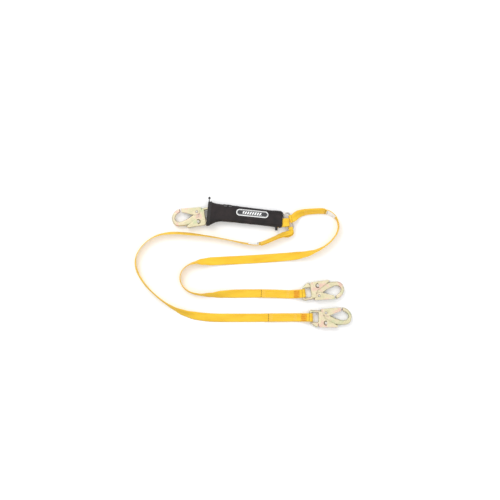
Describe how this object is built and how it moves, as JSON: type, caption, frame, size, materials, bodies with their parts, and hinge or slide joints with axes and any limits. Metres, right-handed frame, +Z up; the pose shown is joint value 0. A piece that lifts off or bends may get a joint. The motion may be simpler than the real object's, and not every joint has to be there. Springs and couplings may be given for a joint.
{
  "type": "shock absorbing lanyard",
  "caption": "Twin-leg shock absorbing lanyard in yellow webbing, with a black absorber pack and self-locking snap hooks, laid flat.",
  "frame": {"origin": "middle of the footprint of the pack, ring and hooks, on the surface that they lie on", "axes": "+X along the laid-out lanyard, from the harness hook towards the leg hooks; +Y from the leg hooks' side towards the pack's side; +Z up"},
  "size_m": [0.6615, 0.3974, 0.0367],
  "materials": {
    "yellow_webbing": "woven polyester, matt",
    "black_nylon": "woven nylon, matt",
    "white_label": "smooth printed cloth",
    "zinc_steel": "yellow zinc plated",
    "ring_steel": "plated",
    "spring_steel": "bright wire"
  },
  "bodies": {
    "pack_and_legs": {"pack_cover": "black_nylon", "cover_hem": "black_nylon", "closure_flap": "black_nylon", "cover_label": "white_label", "side_tab": "black_nylon", "hem_drawcord": "black_nylon", "drawcord_knot": "black_nylon", "tear_webbing": "yellow_webbing", "backup_strap": "yellow_webbing", "connecting_ring": "ring_steel", "harness_loop": "yellow_webbing", "ring_loop": "yellow_webbing", "lower_leg_strap": "yellow_webbing", "lower_leg_ring_end": "yellow_webbing", "lower_leg_hook_end": "yellow_webbing", "lower_leg_tag": "white_label", "upper_leg_strap": "yellow_webbing", "upper_leg_ring_end": "yellow_webbing", "upper_leg_hook_end": "yellow_webbing", "upper_leg_tag": "white_label"},
    "lower_hook": {"lower_hook_body": "zinc_steel", "lower_hook_gate_rivet": "zinc_steel", "lower_hook_lever_rivet": "zinc_steel", "lower_hook_gate_spring": "spring_steel", "lower_hook_lever_spring": "spring_steel"},
    "lower_hook_gate": {"lower_hook_gate": "zinc_steel"},
    "lower_hook_lever": {"lower_hook_lock_lever": "zinc_steel"},
    "upper_hook": {"upper_hook_body": "zinc_steel", "upper_hook_gate_rivet": "zinc_steel", "upper_hook_lever_rivet": "zinc_steel", "upper_hook_gate_spring": "spring_steel", "upper_hook_lever_spring": "spring_steel"},
    "upper_hook_gate": {"upper_hook_gate": "zinc_steel"},
    "upper_hook_lever": {"upper_hook_lock_lever": "zinc_steel"},
    "harness_hook": {"harness_hook_body": "zinc_steel", "harness_hook_gate_rivet": "zinc_steel", "harness_hook_lever_rivet": "zinc_steel", "harness_hook_gate_spring": "spring_steel", "harness_hook_lever_spring": "spring_steel"},
    "harness_hook_gate": {"harness_hook_gate": "zinc_steel"},
    "harness_hook_lever": {"harness_hook_lock_lever": "zinc_steel"}
  },
  "joints": [
    {"name": "lower_hook_swing", "type": "hinge", "parent": "pack_and_legs", "child": "lower_hook", "pos_m": [0.145, -0.168, 0.01], "axis": [0, -1, 0], "range_deg": [0, 135]},
    {"name": "lower_hook_gate_opens", "type": "hinge", "parent": "lower_hook", "child": "lower_hook_gate", "pos_m": [0.193, -0.154, 0.01], "axis": [0, 0, -1], "range_deg": [0, 26], "stiffness_Nm_per_rad": 0.12, "springref_deg": -15.01},
    {"name": "lower_hook_lever_squeezes", "type": "hinge", "parent": "lower_hook", "child": "lower_hook_lever", "pos_m": [0.193, -0.185, 0.01], "axis": [0, 0, 1], "range_deg": [0, 9], "stiffness_Nm_per_rad": 0.2, "springref_deg": -11.97},
    {"name": "upper_hook_swing", "type": "hinge", "parent": "pack_and_legs", "child": "upper_hook", "pos_m": [0.12296, -0.09494, 0.01], "axis": [0.1392, -0.9903, 0], "range_deg": [0, 135]},
    {"name": "upper_hook_gate_opens", "type": "hinge", "parent": "upper_hook", "child": "upper_hook_gate", "pos_m": [0.17244, -0.10213, 0.01], "axis": [0, 0, 1], "range_deg": [0, 26], "stiffness_Nm_per_rad": 0.12, "springref_deg": -15.01},
    {"name": "upper_hook_lever_squeezes", "type": "hinge", "parent": "upper_hook", "child": "upper_hook_lever", "pos_m": [0.16813, -0.07143, 0.01], "axis": [0, 0, -1], "range_deg": [0, 9], "stiffness_Nm_per_rad": 0.2, "springref_deg": -11.97},
    {"name": "harness_hook_swing", "type": "hinge", "parent": "pack_and_legs", "child": "harness_hook", "pos_m": [-0.15095, 0.14797, 0.012], "axis": [-0.1564, 0.9877, 0], "range_deg": [0, 12]},
    {"name": "harness_hook_gate_opens", "type": "hinge", "parent": "harness_hook", "child": "harness_hook_gate", "pos_m": [-0.20055, 0.15429, 0.012], "axis": [0, 0, 1], "range_deg": [0, 26], "stiffness_Nm_per_rad": 0.12, "springref_deg": -15.01},
    {"name": "harness_hook_lever_squeezes", "type": "hinge", "parent": "harness_hook", "child": "harness_hook_lever", "pos_m": [-0.1957, 0.12367, 0.012], "axis": [0, 0, -1], "range_deg": [0, 9], "stiffness_Nm_per_rad": 0.2, "springref_deg": -11.97}
  ]
}
